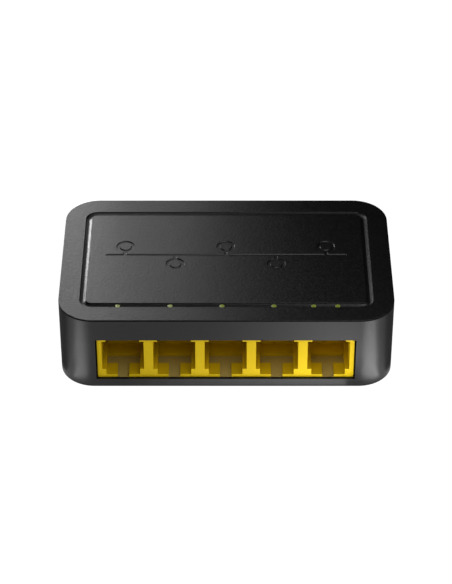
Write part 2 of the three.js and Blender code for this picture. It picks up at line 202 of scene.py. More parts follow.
# Y and height above the casing's underside
WIRE_PATH = ((-24.1, 14.25), (-24.35, 13.95), (-24.15, 13.6), (-16.6, 9.95), (-15.95, 9.83), (-15.42, 10.02))
RUN_BEND = 0.5
RUN_FRONT = -23.6
RUN_DROP = ((-24.32, 15.15), (-24.3, 14.85))  # Y and Z
RUN_SUNK = 0.19
COMB_HALF_WIDTH = 0.27
COMB_DEPTH = 0.35
TRAY_PLATE = 1.38

# Light guide; heights above the casing's underside
INDICATORS = (-29.4, -15.2, -1.2, 12.85, 23.6, 30.1)
TIP_RADIUS = 0.7
TIP_BULGE = 0.05
TIP_FOOT = 19.6
TIP_CLEARANCE = 0.1
GLOW_START = 0.12  # below the tips' crowns
GLOW_END = 0.03
GUIDE_WIDTH = 1.4
GUIDE_MIRROR = 0.6
GUIDE_LEVEL = 16.6
GUIDE_NECK = 20
GUIDE_BAR = (-13, -11.6)

# Board
BOARD_CORNER = 7
BOARD_CLEARANCE = 0.05  # over the posts that hold it up
BOARD_NOTCH = 3.5
PIN_ROW_Y = -12.3
PIN_ROW_STEP = 2.54
INLET_TERMINALS = ((0, 13.0), (0, 18.5), (-3.6, 16.0))  # from the inlet's middle, and Y
LEAD_THICKNESS = 0.2
CHIP_LENGTHS = (1.0, 1.6)
CHIP_HEIGHT = 0.4
CHIP_ROWS = [(x, y) for y in (3.4, 22.0) for x in range(-33, -13, 3)]
CHIP_ROWS += [(x, 20.5) for x in range(-10, 8, 3)] + [(16.2, y) for y in range(3, 15, 3)]

# Power inlet
BORE_RADIUS = 3.15
BORE_MOUTH = 3.5
BORE_END = 15
PIN_RADIUS = 1.0
PIN_NOSE = 0.9
# Y and height above the casing's underside
LEAF_PATH = ((15.45, 5.5), (17, 5.7), (20, 6.35), (21.5, 6.45), (23.3, 5.72))
LEAF_BEND = 1.2
LEAF_WIDTH = 2.4
LEAF_THICKNESS = 0.3

PORT_CENTRES = [PORT_ROW_X + (i - (PORTS - 1) / 2) * PITCH for i in range(PORTS)]


def box_mm(node):
    """Lowest and highest corner of a CAD node, in millimetres."""
    low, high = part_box(node)
    return low / MM, high / MM


def measure(node):
    """Lowest and highest corner, middle and half size of a CAD node, in millimetres."""
    low, high = box_mm(node)
    return low, high, (low + high) / 2, (high - low) / 2


cover_low, cover_high = box_mm("top_cover")
jack_low, jack_high = box_mm("jack_housing")
board_low, board_high = box_mm("circuit_board")
inlet_low, inlet_high = box_mm("inlet_housing")
guide_low, guide_high = box_mm("light_guide")
BASE = box_mm("lower_case")[0].z
TOP = cover_high.z
CEILING = TOP - PLATE
SEAM_FLOOR = TOP - LIP - SEAM
INLET_X = (inlet_low.x + inlet_high.x) / 2
HALF_WIDTH = cover_high.x
HALF_DEPTH = cover_high.y
INDICATOR_Y = cover_low.y + RIM + GROOVE / 2


# ---- mesh tools


def rounded_loop(half_x, half_y, radius, z, steps=CORNER_STEPS, centre=(0, 0)):
    """A rounded rectangle at height z, anticlockwise."""
    radius = max(radius, 0.02)
    points = []
    for quarter, (sx, sy) in enumerate(SQUARE):
        for step in range(steps + 1):
            angle = math.radians(90 * quarter + 90 * step / steps)
            x = centre[0] + sx * (half_x - radius) + radius * math.cos(angle)
            y = centre[1] + sy * (half_y - radius) + radius * math.sin(angle)
            points.append(Vector((x, y, z)))
    return points


def circle_loop(radius, z, steps, centre=(0, 0)):
    """A circle at height z, anticlockwise."""
    x, y = centre
    turns = [math.tau * i / steps for i in range(steps)]
    return [Vector((x + radius * math.cos(t), y + radius * math.sin(t), z)) for t in turns]


def loft(bm, loops, closed=False, bands=None):
    """Skins a stack of equal loops; ends are capped, or joined where closed. bands gives material slots."""
    rows = [[bm.verts.new(p * MM) for p in loop] for loop in loops]
    pairs = list(zip(rows, rows[1:]))
    if closed:
        pairs.append((rows[-1], rows[0]))
    for index, (lower, upper) in enumerate(pairs):
        for i in range(len(lower)):
            j = (i + 1) % len(lower)
            face = bm.faces.new((lower[i], lower[j], upper[j], upper[i]))
            face.material_index = bands[index] if bands else 0
    if not closed:
        bm.faces.new(rows[0][::-1])
        bm.faces.new(rows[-1])
    return bm


def lathe(bm, profile, centre, axis="Z", steps=48):
    """Turns (radius, height) points about an axis through centre; ends on the axis are closed."""
    turn = Matrix.Rotation(-math.pi / 2 if axis == "Y" else 0, 3, "X")
    loops = [circle_loop(max(r, 0.001), h, steps) for r, h in profile]
    return loft(bm, [[turn @ p + Vector(centre) for p in loop] for loop in loops])


def rods(bm, places, radius, low, high, steps):
    """Upright cylinders at some places (x, y)."""
    for x, y in places:
        lathe(bm, [(radius, low), (radius, high)], (x, y, 0), steps=steps)
    return bm


def arc(centre_u, centre_v, radius, start, end, steps):
    """Points (u, v) along an arc, angles in degrees."""
    points = []
    for step in range(steps + 1):
        angle = math.radians(start + (end - start) * step / steps)
        points.append((centre_u + radius * math.cos(angle), centre_v + radius * math.sin(angle)))
    return points


def block(bm, low, high, bevel=0.0, segments=2, slot=0):
    """A box, with rounded edges where it has a bevel."""
    part = bmesh.new()
    bmesh.ops.create_cube(part, size=1)
    centre = (Vector(low) + Vector(high)) / 2
    size = Vector(high) - Vector(low)
    for vert in part.verts:
        vert.co = (centre + Vector([c * s for c, s in zip(vert.co, size)])) * MM
    if bevel:
        rounding = dict(offset=bevel * MM, segments=segments, profile=0.5, affect="EDGES")
        bmesh.ops.bevel(part, geom=part.edges[:], **rounding)
    for face in part.faces:
        face.material_index = slot
    return merge(bm, part)


def merge(bm, part):
    """Adds a part's mesh to another and frees it."""
    mesh = bpy.data.meshes.new("part")
    part.to_mesh(mesh)
    part.free()
    bm.from_mesh(mesh)
    bpy.data.meshes.remove(mesh)
    return bm


def prism(bm, outline, axis, start, end):
    """Extrudes a closed outline, given in the two axes that are left, along an axis."""
    place = {
        "X": lambda u, v, w: Vector((w, u, v)),
        "Y": lambda u, v, w: Vector((u, w, v)),
    }[axis]
    loops = [[place(u, v, w) for u, v in outline] for w in (start, end)]
    return loft(bm, loops)


def rounded_path(points, radius, steps=5):
    """A line through points with its corners rounded to a radius."""
    line = [Vector(p) for p in points]
    smooth = [line[0]]
    for before, corner, after in zip(line, line[1:], line[2:]):
        reach = min(radius, (corner - before).length / 2, (after - corner).length / 2)
        first = corner + (before - corner).normalized() * reach
        last = corner + (after - corner).normalized() * reach
        for step in range(steps + 1):
            t = step / steps
            smooth.append(first.lerp(corner, t).lerp(corner.lerp(last, t), t))
    smooth.append(line[-1])
    return smooth


def strip(bm, path, x, width, thickness, slot=0):
    """A rounded strip of metal along a path in (y, z), centred on x."""
    chamfer = min(width, thickness) * 0.28
    half_w, half_t = width / 2, thickness / 2
    section = [
        (half_w, -half_t + chamfer),
        (half_w, half_t - chamfer),
        (half_w - chamfer, half_t),
        (-half_w + chamfer, half_t),
        (-half_w, half_t - chamfer),
        (-half_w, -half_t + chamfer),
        (-half_w + chamfer, -half_t),
        (half_w - chamfer, -half_t),
    ]
    before = len(bm.faces)
    loops = []
    for i, point in enumerate(path):
        ahead = path[min(i + 1, len(path) - 1)] - path[max(i - 1, 0)]
        side = Vector((-ahead.y, ahead.x)).normalized()
        centre = Vector(point)
        loops.append([Vector((x + u, *(centre + side * v))) for u, v in section])
    loft(bm, loops)
    bm.faces.ensure_lookup_table()
    for face in bm.faces[before:]:
        face.material_index = slot
    return bm


def object_from(bm, name):
    """Turns a mesh under construction into an object of the scene."""
    bmesh.ops.recalc_face_normals(bm, faces=bm.faces[:])
    mesh = bpy.data.meshes.new(name)
    bm.to_mesh(mesh)
    bm.free()
    made = bpy.data.objects.new(name, mesh)
    bpy.context.scene.collection.objects.link(made)
    return made


def combine(piece, tool_bm, operation="DIFFERENCE"):
    """Joins or cuts a piece with a solid, and keeps the result in its mesh."""
    tool = object_from(tool_bm, "tool")
    step = piece.modifiers.new("combine", "BOOLEAN")
    step.operation = operation
    step.solver = "EXACT"
    step.object = tool
    graph = bpy.context.evaluated_depsgraph_get()
    result = bpy.data.meshes.new_from_object(piece.evaluated_get(graph))
    piece.modifiers.clear()
    old = piece.data
    piece.data = result
    result.name = piece.name
    bpy.data.meshes.remove(old)
    bpy.data.objects.remove(tool)
    return piece


def soften(piece, width, segments=3):
    """Rounds the sharp edges and keeps the flats flat."""
    bevel = piece.modifiers.new("edge_radius", "BEVEL")
    bevel.width = width * MM
    bevel.segments = segments
    bevel.limit_method = "ANGLE"
    bevel.angle_limit = math.radians(BEVEL_ANGLE)
    bevel.harden_normals = True
    return piece


def dress(piece, materials, replaced=(), body="case"):
    """Gives a piece its materials, shading, body and the CAD nodes that it stands for."""
    piece.data.materials.clear()
    for made in materials:
        piece.data.materials.append(made)
    piece.data.shade_smooth()
    piece.data.set_sharp_from_angle(angle=math.radians(SMOOTH_ANGLE))
    flats = piece.modifiers.new("flat_faces", "WEIGHTED_NORMAL")
    flats.weight = 100
    flats.keep_sharp = True
    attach(piece, body)
    if replaced:
        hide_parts(*replaced)
    return piece


# ---- materials


class Shader:
    """A Principled material and the few node set-ups that the materials share."""

    def __init__(self, name, **inputs):
        self.material = bpy.data.materials.new(name)
        self.material.use_nodes = True
        self.nodes = self.material.node_tree.nodes
        self.surface = self.fill(self.nodes["Principled BSDF"], inputs)
        self.coords = self.node("TexCoord").outputs["Object"]

    def feed(self, socket, value):
        """Gives a socket a value, or links it where the value is another node's output."""
        if isinstance(value, bpy.types.NodeSocket):
            self.material.node_tree.links.new(value, socket)
        else:
            socket.default_value = value

    def fill(self, node, inputs):
        """Feeds a node's inputs by name, with _ for a space."""
        for name, value in inputs.items():
            self.feed(node.inputs[name.replace("_", " ")], value)
        return node

    def node(self, kind, **inputs):
        return self.fill(self.nodes.new("ShaderNode" + kind), inputs)

    def stretched(self, scale):
        return self.node("Mapping", Scale=scale, Vector=self.coords).outputs["Vector"]

    def noise(self, scale, detail, coords=None):
        made = self.node("TexNoise", Scale=scale, Detail=detail, Vector=coords or self.coords)
        return made.outputs["Fac"]

    def cells(self, scale):
        return self.node("TexVoronoi", Scale=scale, Vector=self.coords).outputs["Distance"]

    def remap(self, value, low, high, start=0.3, end=0.7):
        made = self.node("MapRange", Value=value, From_Min=start, From_Max=end, To_Min=low, To_Max=high)
        return made.outputs["Result"]

    def maths(self, operation, a, b):
        made = self.node("Math")
        made.operation = operation
        for socket, value in zip(made.inputs, (a, b)):
            self.feed(socket, value)
        return made.outputs["Value"]

    def blend(self, factor, first, second):
        """Mixes two colours, each an (r, g, b) or another node's output."""
        made = self.node("Mix", Factor=factor)
        made.data_type = "RGBA"
        for socket, tone in zip(made.inputs[6:8], (first, second)):
            self.feed(socket, (*tone, 1) if isinstance(tone, tuple) else tone)
        return made.outputs[2]

    def axis(self, name):
        return self.node("SeparateXYZ", Vector=self.coords).outputs[name]

    def colour(self, pattern, first, second):
        """Lets the colour wander between two tones with a pattern."""
        self.fill(self.surface, {"Base Color": self.blend(pattern, first, second)})

    def roughness(self, pattern, low, high):
        self.fill(self.surface, {"Roughness": self.remap(pattern, low, high)})

    def bump(self, height, depth_mm):
        made = self.node("Bump", Distance=depth_mm * MM, Height=height)
        self.fill(self.surface, {"Normal": made.outputs["Normal"]})


def shades(colour, dark, light):
    """Two tones of a colour, for a material to wander between."""
    return tuple(c * dark for c in colour), tuple(c * light for c in colour)


def moulded_plastic(name, colour, roughness, grain, depth_mm):
    """Plastic with a fine mould grain, slow colour drift and uneven gloss."""
    made = Shader(name, IOR=1.45)
    spread = 0.06
    made.colour(made.noise(45, 3), *shades(colour, 0.9, 1.1))
    made.roughness(made.noise(grain * 0.35, 2), roughness - spread, roughness + spread)
    made.bump(made.noise(grain, 2), depth_mm)
    return made.material


def plated_metal(name, colour, roughness):
    """Metal with fine drawing marks along X and slightly uneven polish."""
    made = Shader(name, Metallic=1.0)
    marks = made.noise(1.0, 3, made.stretched((900, 9000, 9000)))
    made.colour(made.noise(300, 2), *shades(colour, 0.88, 1.04))
    made.roughness(marks, roughness - 0.08, roughness + 0.1)
    made.bump(marks, 0.004)
    return made.material


def case_grain():
    """Spark-eroded black ABS: two sizes of grain, with a faint satin sheen."""
    made = Shader("case_grain", IOR=1.42)
    coarse = made.noise(1500, 2)
    fine = made.noise(4200, 2)
    height = made.maths("ADD", coarse, made.maths("MULTIPLY", fine, 0.4))
    made.colour(made.noise(60, 3), (0.003, 0.003, 0.0032), (0.004, 0.004, 0.0042))
    made.roughness(coarse, TOP_ROUGHNESS - 0.06, TOP_ROUGHNESS + 0.06)
    made.bump(height, TOP_GRAIN_DEPTH)
    return made.material


def case_wall_finish():
    """The smoother finish of the side walls, cut with finer grain than the top."""
    made = Shader("case_wall", IOR=1.4, Specular_IOR_Level=0.34)
    made.colour(made.noise(50, 3), (0.007, 0.007, 0.0073), (0.009, 0.009, 0.0093))
    made.roughness(made.noise(900, 2), 0.36, 0.4)
    made.bump(made.noise(4200, 2), 0.008)
    return made.material


def groove_gloss():
    """Polished black plastic in the groove, with faint ripples from the mould."""
    made = Shader("groove_gloss", IOR=1.5)
    made.colour(made.noise(80, 2), (0.006, 0.006, 0.0065), (0.009, 0.009, 0.0095))
    made.roughness(made.noise(700, 2), 0.08, 0.13)
    made.bump(made.noise(350, 2), 0.01)
    return made.material


def jack_yellow():
    """Yellow PBT: satin, with a weak surface reflection."""
    made = Shader("jack_yellow", IOR=1.5, Specular_IOR_Level=0.06)
    made.colour(made.noise(240, 3), *shades(JACK_COLOUR, 0.94, 1.06))
    made.roughness(made.noise(1500, 2), 0.42, 0.55)
    made.bump(made.noise(5000, 2), 0.006)
    return made.material


def laminate():
    """Circuit board: green solder mask with hidden traces, and bare woven laminate under the jack."""
    made = Shader("laminate", IOR=1.5)
    weave_x = made.noise(1.0, 1, made.stretched((400, 5200, 400)))
    weave_y = made.noise(1.0, 1, made.stretched((5200, 400, 400)))
    weave = made.maths("MULTIPLY", weave_x, weave_y)
    bare = made.blend(made.remap(weave, 0, 1, 0.15, 0.4), (0.30, 0.285, 0.17), (0.42, 0.395, 0.25))
    traces = made.node(
        "TexBrick",
        Vector=made.coords,
        Scale=320,
        Mortar_Size=0.035,
        Color1=(0.012, 0.085, 0.03, 1),
        Color2=(0.016, 0.10, 0.038, 1),
        Mortar=(0.05, 0.20, 0.08, 1),
    )
    edge = jack_high.y * MM
    masked = made.remap(made.axis("Y"), 0, 1, edge, edge + 0.2 * MM)
    made.colour(masked, bare, traces.outputs["Color"])
    made.roughness(made.noise(900, 2), 0.35, 0.5)
    made.bump(weave, 0.01)
    return made.material


def fish_paper():
    """Vulcanised fibre: olive grey with short random fibres."""
    made = Shader("fish_paper", IOR=1.45)
    fibres = made.noise(1.0, 3, made.stretched((900, 3600, 900)))
    made.colour(fibres, (0.32, 0.25, 0.075), (0.48, 0.375, 0.115))
    made.roughness(made.noise(1500, 2), 0.5, 0.65)
    made.bump(fibres, 0.008)
    return made.material


def lit_guide():
    """Clear polycarbonate, glowing yellow-green at its tips."""
    glow_colour = (*GLOW_COLOUR, 1)
    made = Shader("lit_guide", IOR=1.58, Transmission_Weight=0.35, Emission_Color=glow_colour)
    made.colour(made.noise(600, 2), (0.09, 0.11, 0.02), (0.13, 0.15, 0.035))
    made.roughness(made.noise(1200, 2), 0.12, 0.25)
    start, end = (guide_high.z - GLOW_START) * MM, (guide_high.z - GLOW_END) * MM
    glow = made.remap(made.axis("Z"), 0.0, GLOW_STRENGTH, start, end)
    made.fill(made.surface, {"Emission Strength": glow})
    return made.material


def rubber():
    """Black rubber with a pebbled surface."""
    made = Shader("foot_rubber", IOR=1.5)
    made.colour(made.noise(500, 3), (0.014, 0.014, 0.0145), (0.024, 0.024, 0.025))
    made.roughness(made.noise(2500, 2), 0.75, 0.9)
    made.bump(made.cells(3200), 0.02)
    return made.material


def label_film(name, colour):
    """Satin polyester film with fine brushing."""
    made = Shader(name, Metallic=0.25)
    brushed = made.noise(1.0, 2, made.stretched((60, 6000, 60)))
    made.colour(brushed, *shades(colour, 0.92, 1.05))
    made.roughness(brushed, 0.34, 0.44)
    made.bump(brushed, 0.003)
    return made.material


top_finish = case_grain()
wall_finish = case_wall_finish()
gloss_finish = groove_gloss()
yellow_plastic = jack_yellow()
board_finish = laminate()
fibre = fish_paper()
guide_finish = lit_guide()
foot_finish = rubber()
tray_plastic = moulded_plastic("tray_plastic", (0.02, 0.02, 0.021), 0.5, 4000, 0.01)
epoxy = moulded_plastic("package_epoxy", (0.018, 0.018, 0.019), 0.55, 3000, 0.012)
led_plastic = moulded_plastic("led_body", (0.78, 0.78, 0.66), 0.4, 4000, 0.005)
gold = plated_metal("contact_gold", (0.83, 0.60, 0.24), 0.28)
tin = plated_metal("tinned_leads", (0.62, 0.62, 0.60), 0.34)
can_metal = plated_metal("can_aluminium", (0.68, 0.69, 0.70), 0.3)
steel = plated_metal("plated_steel", (0.56, 0.56, 0.57), 0.3)
label_silver = label_film("label_silver", (0.62, 0.62, 0.61))
label_ink = label_film("label_ink", (0.05, 0.05, 0.052))


# ---- casing


def casing_loop(inset, z):
    """The casing's outline at height z, inset by some millimetres."""
    radius = CORNER - RADIUS_FALL * inset
    return rounded_loop(HALF_WIDTH - inset, HALF_DEPTH - inset, radius, z)


def vent_cutters():
    """The row of slots in the underside."""
    bm = bmesh.new()
    first = -(VENTS["count"] - 1) / 2 * VENTS["pitch"]
    for i in range(VENTS["count"]):
        centre = (first + i * VENTS["pitch"], VENTS["y"])
        half = (VENTS["width"] / 2, VENTS["length"] / 2)
        loops = [rounded_loop(*half, half[0], z, 8, centre) for z in (BASE - PAST, BASE + FLOOR + PAST)]
        loft(bm, loops)
    return bm


def tub_shell():
    """Floor and wall of the tub, in one round skin."""
    inner = TUB_INNER_FILLET
    profile = arc(TUB_FILLET, BASE + TUB_FILLET, TUB_FILLET, 270, 180, 6)
    profile += arc(TUB_EDGE, SEAM_FLOOR - TUB_EDGE, TUB_EDGE, 180, 90, 3)
    profile += arc(WALL - TUB_EDGE, SEAM_FLOOR - TUB_EDGE, TUB_EDGE, 90, 0, 3)
    profile += arc(WALL + inner, BASE + FLOOR + inner, inner, 180, 270, 4)
    return object_from(loft(bmesh.new(), [casing_loop(i, z) for i, z in profile]), "case_tub")


def tub_bosses():
    """Screw bosses and the posts that hold the board up."""
    foot = BASE + FLOOR / 2
    bm = rods(bmesh.new(), SCREW_PLACES, BOSS_RADIUS, foot, BASE + BOSS_HEIGHT, 40)
    return rods(bm, SUPPORT_PLACES, SUPPORT_RADIUS, foot, board_low.z - BOARD_CLEARANCE, 24)


def tub_openings():
    """Cutters of the port window, the inlet's hole, and the recesses of screws and feet."""
    bm = bmesh.new()
    low, high = jack_low.z - WINDOW_BELOW, jack_high.z + WINDOW_ABOVE
    centre = (PORT_ROW_X, (low + high) / 2)
    window = rounded_loop(WINDOW_HALF_WIDTH, (high - low) / 2, WINDOW_CORNER, 0, 5, centre)
    outline = [(p.x, p.y) for p in window]
    prism(bm, outline, "Y", -HALF_DEPTH - PAST, -HALF_DEPTH + WALL + 0.2)
    hole = [(INLET_HOLE_RADIUS, -WALL - PAST), (INLET_HOLE_RADIUS, PAST)]
    lathe(bm, hole, (INLET_X, HALF_DEPTH, BASE + INLET_HEIGHT), "Y", 64)
    rods(bm, SCREW_PLACES, SCREW_RECESS_RADIUS, BASE - PAST, BASE + SCREW_RECESS_DEPTH, 40)
    for i in range(1, 5):
        middle, half = measure(f"foot_{i}")[2:]
        rods(bm, [middle.xy], half.x + FOOT_MARGIN, BASE - PAST, BASE + FOOT_RECESS_DEPTH, 56)
    return bm


def case_tub():
    """Lower case: tub with the port window, inlet hole, bosses, foot recesses and vents."""
    tub = combine(tub_shell(), tub_bosses(), "UNION")
    combine(tub, tub_openings())
    combine(tub, rods(bmesh.new(), SCREW_PLACES, BOSS_BORE, BASE + FLOOR, BASE + BOSS_HEIGHT + PAST, 28))
    combine(tub, vent_cutters())
    soften(tub, 0.1)
    return dress(tub, [wall_finish], replaced=["lower_case"])


def stroke(bm, start, end, width, z_top, z_bottom):
    """A sunk stroke with sloping sides along a straight line between two points."""
    start, end = Vector(start), Vector(end)
    along = end - start
    turn = Matrix.Rotation(math.atan2(along.y, along.x), 3, "Z")
    middle = ((start + end) / 2).to_3d()
    loops = []
    for z, grow in ((z_bottom, -MARK_TAPER), (z_top, 0.0)):
        half = width / 2 + grow
        flat = rounded_loop(along.length / 2 + half, half, half * 0.98, z, 8)
        loops.append([turn @ p + middle for p in flat])
    return loft(bm, loops)


def ring(bm, centre, z_top, z_bottom):
    """A sunk ring with sloping sides."""
    section = (
        (RING_RADIUS, z_top),
        (RING_RADIUS - MARK_TAPER, z_bottom),
        (RING_RADIUS - MARK_STROKE + MARK_TAPER, z_bottom),
        (RING_RADIUS - MARK_STROKE, z_top),
    )
    return loft(bm, [circle_loop(r, z, RING_STEPS, centre) for r, z in section], closed=True)


def sink_mark(cover):
    """Sinks the pictogram into the panel: a bus line, and one ring on a stub for each port."""
    above = TOP + MARK_CLEARANCE
    below = TOP - MARK_DEPTH
    bus = bmesh.new()
    stroke(bus, (-MARK_HALF_LENGTH, MARK_Y), (MARK_HALF_LENGTH, MARK_Y), MARK_STROKE, above, below)
    combine(cover, bus)
    stubs = bmesh.new()
    rings = bmesh.new()
    outer = RING_OFFSET - RING_RADIUS + MARK_STROKE / 2 - STUB_INSET
    for i, x in enumerate(PORT_CENTRES):
        side = -1 if i % 2 else 1
        ring(rings, (x, MARK_Y + side * RING_OFFSET), above, below)
        near, far = (x, MARK_Y + side * STUB_INSET), (x, MARK_Y + side * outer)
        stroke(stubs, near, far, STUB_STROKE, above, below + STUB_LIFT)
    combine(cover, rings)
    combine(cover, stubs)


def cover_shell():
    """Plate, skirt, rim, groove and panel of the cover, in one round skin."""
    outer = WALL + SKIRT_GAP
    inner = outer + SKIRT_THICKNESS
    hem = CEILING - SKIRT_DEPTH
    ledge = SEAM_FLOOR + SEAM_CLEARANCE
    profile = [
        (inner, CEILING),
        (inner, hem + SKIRT_CHAMFER),
        (inner - SKIRT_CHAMFER, hem),
        (outer + SKIRT_CHAMFER, hem),
        (outer, hem + SKIRT_CHAMFER),
        (outer, ledge),
        (SEAM_DEPTH, ledge),
        (0.0, TOP - LIP),
    ]
    profile += arc(COVER_EDGE, TOP - COVER_EDGE, COVER_EDGE, 180, 90, 4)
    matte_end = len(profile)
    profile += arc(RIM - GROOVE_LIP, TOP - GROOVE_LIP, GROOVE_LIP, 90, 15, 3)
    profile += [(RIM + across, TOP - depth) for across, depth in GROOVE_SECTION]
    profile += [(RIM + GROOVE - across, TOP - depth) for across, depth in reversed(GROOVE_SECTION[:-1])]
    profile += arc(RIM + GROOVE + GROOVE_LIP, TOP - GROOVE_LIP, GROOVE_LIP, 165, 90, 3)
    gloss_end = len(profile) - 1
    bands = [1 if matte_end <= i < gloss_end else 0 for i in range(len(profile) - 1)]
    bm = loft(bmesh.new(), [casing_loop(i, z) for i, z in profile], bands=bands)
    return object_from(bm, "case_cover")


def case_cover():
    """Top cover: grained rim and panel round a polished groove, on a skirt with two screw posts."""
    foot = BASE + BOSS_HEIGHT + POST_GAP
    posts = rods(bmesh.new(), SCREW_PLACES, POST_RADIUS, foot, CEILING + 0.4, 36)
    cover = combine(cover_shell(), posts, "UNION")
    tips = [(x, INDICATOR_Y) for x in INDICATORS]
    holes = rods(bmesh.new(), tips, TIP_RADIUS + TIP_CLEARANCE, CEILING - PAST, TOP, 40)
    low, high = POST_BORE_REACH
    combine(cover, rods(holes, SCREW_PLACES, POST_BORE, BASE + low, BASE + high, 24))
    sink_mark(cover)
    soften(cover, 0.05, 2)
    return dress(cover, [top_finish, gloss_finish], replaced=["top_cover"])


# ---- jack and contacts


def port_outline(x):
    """One port's section: latch channel below, plug space above, contact trough on top."""
    right = [
        (LATCH_HALF_WIDTH, LATCH_FLOOR),
        (LATCH_HALF_WIDTH, SHOULDER),
        (PLUG_HALF_WIDTH, SHOULDER),
        (PLUG_HALF_WIDTH, PLUG_CEILING),
        (TROUGH_HALF_WIDTH, PLUG_CEILING),
        (TROUGH_HALF_WIDTH, TROUGH_CEILING),
    ]
    left = [(-dx, z) for dx, z in reversed(right)]
    return [(x + dx, jack_low.z + z) for dx, z in right + left]


def jack_block():
    """The yellow five-port moulding."""
    jack = object_from(block(bmesh.new(), jack_low, jack_high), "jack_block")
    front, rear = jack_low.y, jack_high.y
    back = front + CAVITY_DEPTH
    under, over = jack_low.z - PAST, jack_low.z + PAST
    top = jack_low.z + TROUGH_CEILING
    slit = BASE + TRAY_ARM - SLIT_MARGIN
    cavities = bmesh.new()
    for x in PORT_CENTRES:
        prism(cavities, port_outline(x), "Y", front - PAST, back)
    combine(jack, cavities)
    cuts = (
        (LEDGE_SLOT_HALF, front - PAST, front + LEDGE_DEPTH + 0.1, under, over),
        (LATCH_HALF_WIDTH - APART, front + LEDGE_DEPTH, front + FLOOR_WINDOW_END, under, over),
        (TROUGH_HALF_WIDTH, back + BACK_WALL, rear + PAST, under, top),
        (TROUGH_HALF_WIDTH - APART, back - 0.5, rear + PAST, slit, top - APART),
    )
    for half_width, near, far, low, high in cuts:
        cutters = bmesh.new()
        for x in PORT_CENTRES:
            block(cutters, (x - half_width, near, low), (x + half_width, far, high))
        combine(jack, cutters)
    soften(jack, 0.09, 2)
    return dress(jack, [yellow_plastic], replaced=["jack_housing"])


def fibre_sheet():
    """Fibre insulator between the jack and the board, seen through the slots in the port floors."""
    low = (jack_low.x + 0.2, jack_low.y + 0.06, board_high.z + APART)
    high = (jack_high.x - 0.2, jack_high.y - 0.2, jack_low.z - APART)
    sheet = object_from(block(bmesh.new(), low, high), "fibre_sheet")
    return dress(sheet, [fibre])


def contact_x(port, pin):
    """Place in X of one of a port's eight contact positions."""
    return PORT_CENTRES[port] + (pin - (PLACES - 1) / 2) * CONTACT_PITCH


def contact_carrier(port):
    """Insulator behind and above one port, with a comb at its front and the contacts' fixed runs."""
    node = f"contact_tray_{port + 1}"
    low, high = box_mm(node)
    arm = BASE + TRAY_ARM
    plate = high.y - TRAY_PLATE
    outline = [(plate, low.z), (high.y, low.z), (high.y, high.z), (low.y, high.z), (low.y, arm), (plate, arm)]
    body = object_from(prism(bmesh.new(), outline, "X", low.x, high.x), f"contact_carrier_{port + 1}")
    comb = bmesh.new()
    for pin in range(PLACES):
        x = contact_x(port, pin)
        notch = (x - COMB_HALF_WIDTH, low.y - PAST, high.z - COMB_DEPTH)
        block(comb, notch, (x + COMB_HALF_WIDTH, plate, high.z + PAST))
    combine(body, comb)
    level = high.z - RUN_SUNK
    path = rounded_path([(plate - 0.4, level), (RUN_FRONT, level), *RUN_DROP], RUN_BEND)
    runs = bmesh.new()
    for pin in WIRED_PLACES:
        strip(runs, path, contact_x(port, pin), WIRE_WIDTH, WIRE_THICKNESS * 0.9)
    soften(body, 0.06, 2)
    dress(object_from(runs, f"contact_runs_{port + 1}"), [gold])
    return dress(body, [tray_plastic], replaced=[node])


def contact_wire(port, pin):
    """One sprung wire: a tight bend at the mouth, a straight slope, and a turned-up free end."""
    path = rounded_path([(y, BASE + z) for y, z in WIRE_PATH], WIRE_BEND)
    bm = strip(bmesh.new(), path, contact_x(port, pin), WIRE_WIDTH, WIRE_THICKNESS)
    wire = object_from(bm, f"contact_wire_{port + 1}_{pin + 1}")
    node = f"contact_{port + 1}_{pin + 1}"
    return dress(wire, [gold], [node], f"port_{port + 1}_contacts")


def light_pipe():
    """Clear comb that carries the light over the jack to domed tips in the groove."""
    bar_low = BASE + GUIDE_LEVEL
    bar_high = bar_low + GUIDE_WIDTH
    neck = BASE + GUIDE_NECK
    rear, front = guide_high.y, guide_low.y
    outline = [
        (rear - GUIDE_WIDTH, guide_low.z),
        (rear, guide_low.z),
        (rear, bar_high - GUIDE_MIRROR),
        (rear - GUIDE_MIRROR, bar_high),
        (front + GUIDE_WIDTH, bar_high),
        (front + GUIDE_WIDTH, neck),
        (front, neck),
        (front, bar_low + GUIDE_MIRROR),
        (front + GUIDE_MIRROR, bar_low),
        (rear - GUIDE_WIDTH, bar_low),
    ]
    shoulder = guide_high.z - TIP_BULGE
    dome = [(TIP_RADIUS, BASE + TIP_FOOT), (TIP_RADIUS, shoulder)]
    dome += [(TIP_RADIUS * math.cos(a), shoulder + TIP_BULGE * math.sin(a)) for a in (0.4, 0.8, 1.2, 1.5)]
    branches = bmesh.new()
    tips = bmesh.new()
    for x in INDICATORS:
        prism(branches, outline, "X", x - GUIDE_WIDTH / 2, x + GUIDE_WIDTH / 2)
        lathe(tips, dome, (x, INDICATOR_Y, 0), steps=40)
    pipe = object_from(branches, "light_pipe")
    low = (INDICATORS[0], GUIDE_BAR[0], bar_low + 0.1)
    high = (INDICATORS[-1], GUIDE_BAR[1], bar_high - 0.1)
    combine(pipe, block(bmesh.new(), low, high), "UNION")
    combine(pipe, tips, "UNION")
    soften(pipe, 0.06, 2)
    return dress(pipe, [guide_finish], replaced=["light_guide"])


# ---- board


def board_panel():
    """The board, notched round the screw bosses."""
    low, high, middle, half = measure("circuit_board")
    loops = [rounded_loop(half.x, half.y, BOARD_CORNER, z, 10, middle.xy) for z in (low.z, high.z)]
    board = object_from(loft(bmesh.new(), loops), "board_panel")
    combine(board, rods(bmesh.new(), SCREW_PLACES, BOARD_NOTCH, low.z - PAST, high.z + PAST, 40))
    soften(board, 0.05, 2)
    return dress(board, [board_finish], replaced=["circuit_board"])


